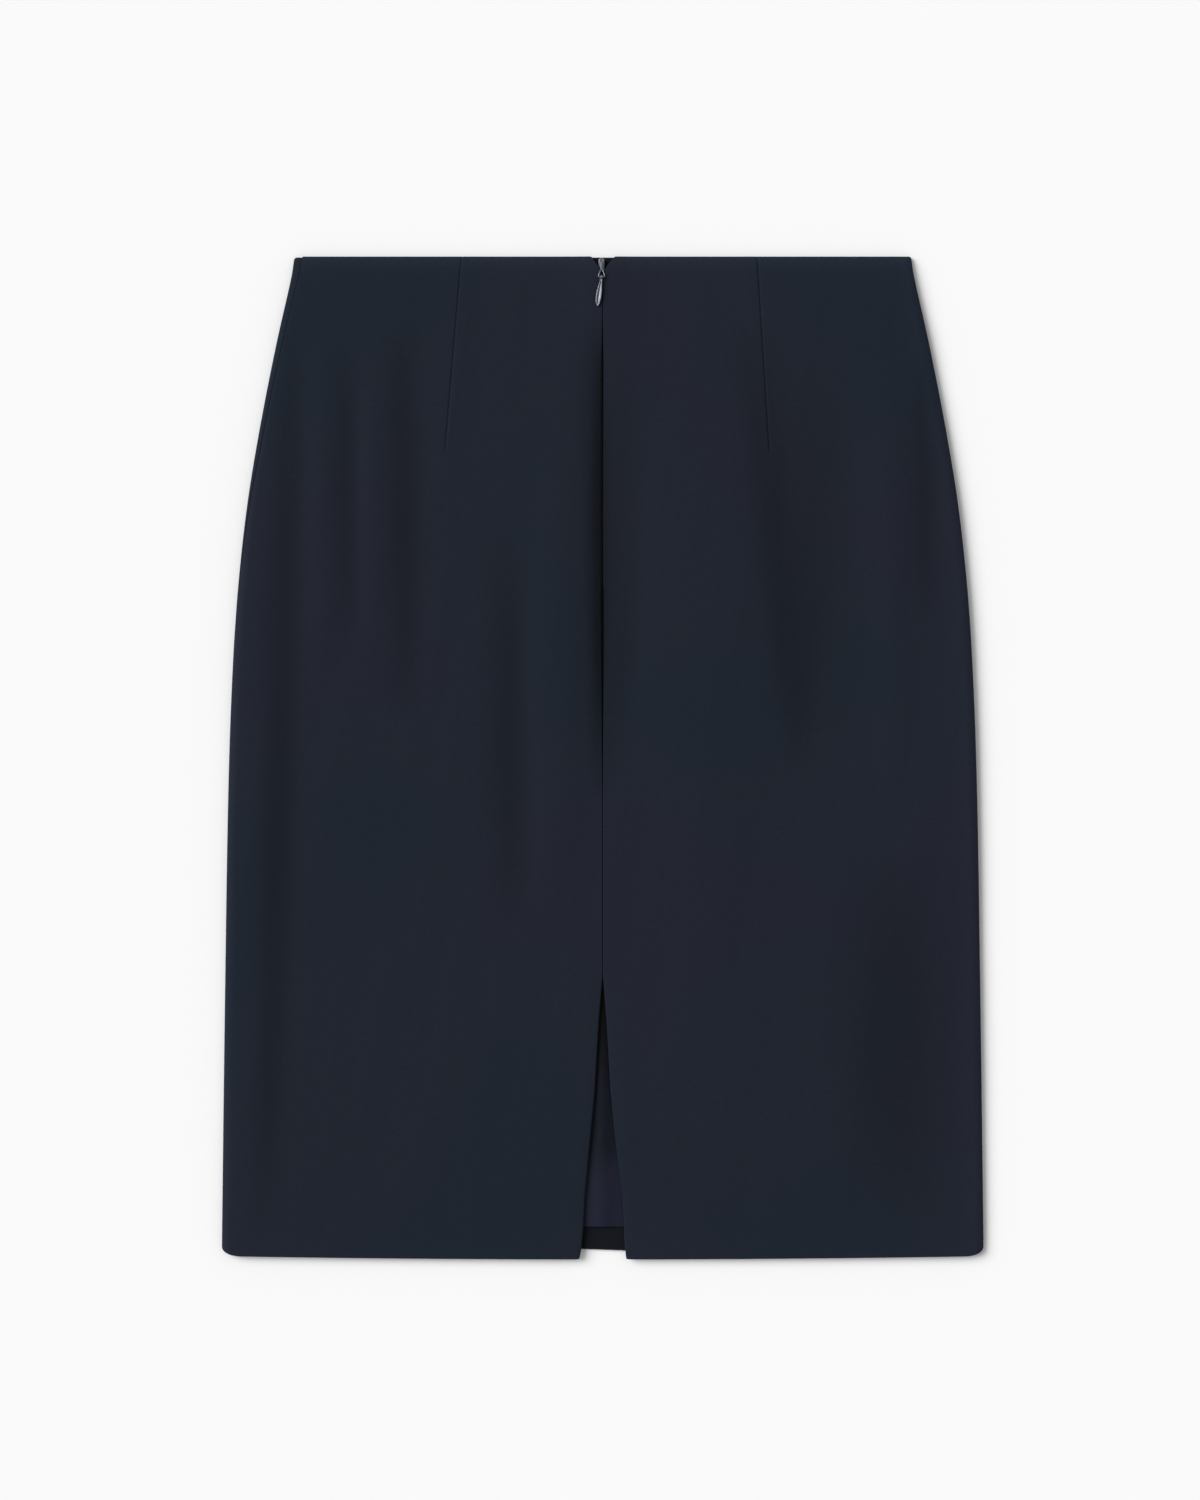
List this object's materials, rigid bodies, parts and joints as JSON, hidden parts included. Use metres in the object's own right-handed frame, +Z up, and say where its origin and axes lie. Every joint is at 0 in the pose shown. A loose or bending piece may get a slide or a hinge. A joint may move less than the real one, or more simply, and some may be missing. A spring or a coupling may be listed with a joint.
{
  "type": "pencil skirt",
  "caption": "Straight knee-length lined skirt laid flat with its back up: darted back panels, concealed centre-back zip with a teardrop pull, and a spread back vent.",
  "frame": {"origin": "on the ground under the middle of the flat skirt", "axes": "+Y from the hem to the waist, +X to the right as seen from above with the waist away, +Z up out of the back"},
  "size_m": [0.4708, 0.62, 0.0095],
  "materials": {
    "suiting": "matte fine worsted crepe, dark navy",
    "lining": "satin navy lining with a soft sheen",
    "zip_tape": "matte woven tape, dark navy",
    "zip_metal": "blue-grey enamelled zip slider and pull, softly glossy"
  },
  "bodies": {
    "skirt": {"front_panel": "suiting", "back_panel_left": "suiting", "back_panel_right": "suiting", "lining_front": "lining", "zip_tape_left": "zip_tape", "zip_tape_right": "zip_tape", "zip_slider": "zip_metal"},
    "zip_pull": {"zip_pull": "zip_metal"}
  },
  "joints": [
    {"name": "pull_swing", "type": "hinge", "parent": "skirt", "child": "zip_pull", "pos_m": [-0.0007, 0.2964, 0.00829], "axis": [-1, 0, 0], "range_deg": [0, 165]}
  ]
}
